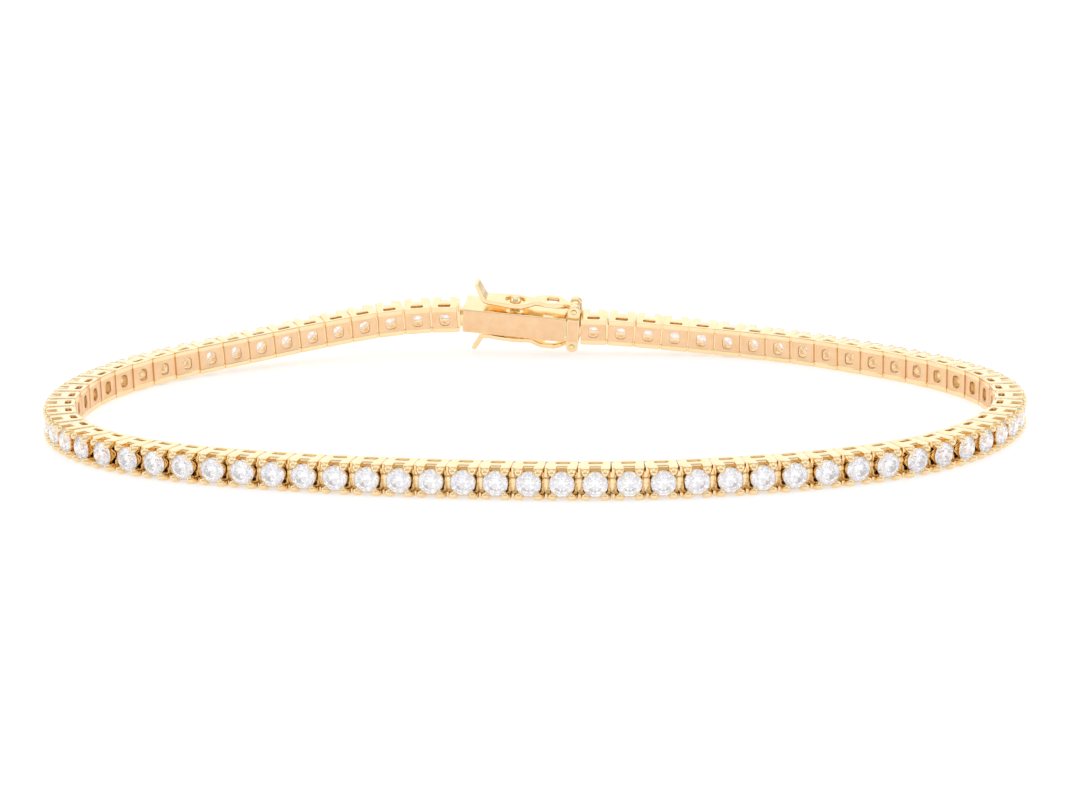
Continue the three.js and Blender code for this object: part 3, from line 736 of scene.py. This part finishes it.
end_plate = rounded_box(PLATE_START, PLATE_END, -BOX_HALF, BOX_HALF, 0.12)
tongue = plate([end_plate], CLASP_DEPTH, PLATE_ROUNDING, across(CLASP_MIDDLE))
ear_outline = (
    [(PLATE_START, EAR_FOOT), (PLATE_START + 2 * EAR, EAR_FOOT)] + arc(HINGE_AT, HINGE_RISE, EAR, 0, 180, 14)
)
ear_hole = arc(HINGE_AT, HINGE_RISE, PIN + 0.03, 0, 345, 15)
for mirror in (Matrix(), FLIP):
    for end in (-1, 1):
        ear_middle = CLASP_MIDDLE + end * (KNUCKLE_HALF + KNUCKLE_GAP + EAR_WIDTH / 2)
        gather(tongue, plate([ear_outline, ear_hole], EAR_WIDTH, EAR_ROUNDING, mirror @ across(ear_middle)))

# The strip runs from the plate to a fold near the far end of the box, and back with its free end raised
fold = [
    (1.28, -0.35), (1.53, -0.475), (8.93, -0.475), (8.93, -0.225), (2.03, -0.225), (7.88, 0.225),
    (7.88, 0.475), (1.53, -0.025),
]
gather(tongue, plate([fold], FOLD_WIDTH, FOLD_ROUNDING, across(CLASP_MIDDLE)))
gather(tongue, chain_eye(CLASP_LENGTH, -1))

# A shoulder on the plate fills the mouth of the box when the clasp is shut
FILL_START, FILL_HALF, FILL_DEPTH, FILL_ROUNDING = 8.55, 0.71, 2.02, 0.04
shoulder_outline = rounded_box(FILL_START, PLATE_START + 0.1, -FILL_HALF, FILL_HALF, 0.06)
gather(tongue, plate([shoulder_outline], FILL_DEPTH, FILL_ROUNDING, across(CLASP_MIDDLE)))
finished("clasp_tongue_polished", tongue, "clasp_tongue", "bracelet")


# Safety catches: a figure-of-eight strip on each side, cut from sheet and bent up. Its round eye
# snaps over the ball stud, its end curls round a pin between the ears, and its tip flares to a thumb tab.
CATCH_LINE = (
    (1.16, 2.98), (1.52, 2.3), (1.78, 1.76), (1.98, 1.6), (2.2, 1.55), (3.2, 1.55), (4.4, 1.55), (5.2, 1.55),
    (5.7, 1.64), (6.2, 1.8), (6.6, 1.87), (7.4, 1.87), (7.9, 1.86), (8.4, 1.78), (8.8, 1.69), (9.2, 1.62),
)
CATCH_HALF_WIDTHS = (
    (1.16, 0.5), (1.4, 0.62), (1.85, 0.72), (2.8, 0.82), (3.7, 0.96), (4.4, 1.0), (5.1, 0.94), (5.55, 0.72),
    (5.95, 0.55), (6.4, 0.68), (6.8, 0.84), (7.4, 0.87), (7.9, 0.84), (8.4, 0.6), (8.7, 0.35), (9.2, 0.33),
)
SHEET, SHEET_ROUNDING, CUTS, BEND_REACH = 0.38, 0.09, 28, 0.15
EYE_HALF_LENGTH, EYE_HALF_WIDTH, WINDOW_START, WINDOW_END, WINDOW_HALF = 0.82, 0.66, 7.0, 7.95, 0.42
CURL, CURL_ROUNDING = 0.42, 0.05

# How far along the bent strip each point of its line is
lengths = [0.0]
for (x0, z0), (x1, z1) in zip(CATCH_LINE, CATCH_LINE[1:]):
    lengths.append(lengths[-1] + math.hypot(x1 - x0, z1 - z0))


def between(value, table):
    """Straight interpolation in a table of (place, value) pairs."""
    for (a, u), (b, v) in zip(table, table[1:]):
        if value <= b or (b, v) == table[-1]:
            return u + (v - u) * (value - a) / (b - a)


def along_at(x):
    """How far along the bent strip a place is."""
    return between(x, [(point[0], length) for point, length in zip(CATCH_LINE, lengths)])


def catch_strip():
    """The strip drawn flat, cut across into short steps, and bent to the catch's line."""
    edge = [(along_at(x), w) for x, w in CATCH_HALF_WIDTHS]
    outline = [(u, -w) for u, w in edge] + [(u, w) for u, w in reversed(edge)]
    eye = [
        (along_at(STUD_AT) + EYE_HALF_LENGTH * math.cos(t), EYE_HALF_WIDTH * math.sin(t)) for t in all_round(24)
    ]
    window = rounded_box(along_at(WINDOW_START), along_at(WINDOW_END), -WINDOW_HALF, WINDOW_HALF, 0.2)
    flat = plate([outline, eye, window], SHEET, SHEET_ROUNDING, Matrix())
    for step in range(1, CUTS):
        everything = flat.verts[:] + flat.edges[:] + flat.faces[:]
        cut = (step * lengths[-1] / CUTS, 0, 0)
        bmesh.ops.bisect_plane(flat, geom=everything, plane_co=cut, plane_no=(1, 0, 0))
    places = [(length, point[0]) for point, length in zip(CATCH_LINE, lengths)]
    rises = [(length, point[1]) for point, length in zip(CATCH_LINE, lengths)]
    for vert in flat.verts:
        u, v, t = vert.co
        before, after = max(u - BEND_REACH, 0.0), min(u + BEND_REACH, lengths[-1])
        slope = Vector((
            between(after, places) - between(before, places), between(after, rises) - between(before, rises),
        ))
        slope.normalize()
        vert.co = (between(u, places) - slope.y * t, CLASP_MIDDLE + v, between(u, rises) + slope.x * t)
    return flat


# A catch's pin is a drawn wire, riveted over at both ends into low domes
reach = KNUCKLE_HALF + KNUCKLE_GAP + EAR_WIDTH
pin_profile = (
    (0.05, -reach - 0.05), (0.15, -reach - 0.035), (0.21, -reach), (PIN, -reach + 0.03),
    (PIN, reach - 0.03), (0.21, reach), (0.15, reach + 0.035), (0.05, reach + 0.05),
)
pin_place = Matrix.Translation((HINGE_AT, CLASP_MIDDLE, HINGE_RISE)) @ Matrix.Rotation(math.pi / 2, 4, "X")
curl_outline = arc(HINGE_AT, HINGE_RISE, CURL, 0, 345, 23)
curl_bore = arc(HINGE_AT, HINGE_RISE, PIN + 0.08, 0, 345, 15)
for mirror, level in ((Matrix(), "upper"), (FLIP, "lower")):
    catch = catch_strip()
    bmesh.ops.transform(catch, matrix=mirror, verts=catch.verts)
    curl = plate([curl_outline, curl_bore], 2 * KNUCKLE_HALF, CURL_ROUNDING, mirror @ across(CLASP_MIDDLE))
    gather(catch, curl)
    finished("safety_catch_" + level + "_polished", catch, "safety_catch_" + level, level + "_catch")
    pin = turned(pin_profile, mirror @ pin_place)
    finished("catch_pin_" + level + "_polished", pin, "catch_pin_" + level, "bracelet")
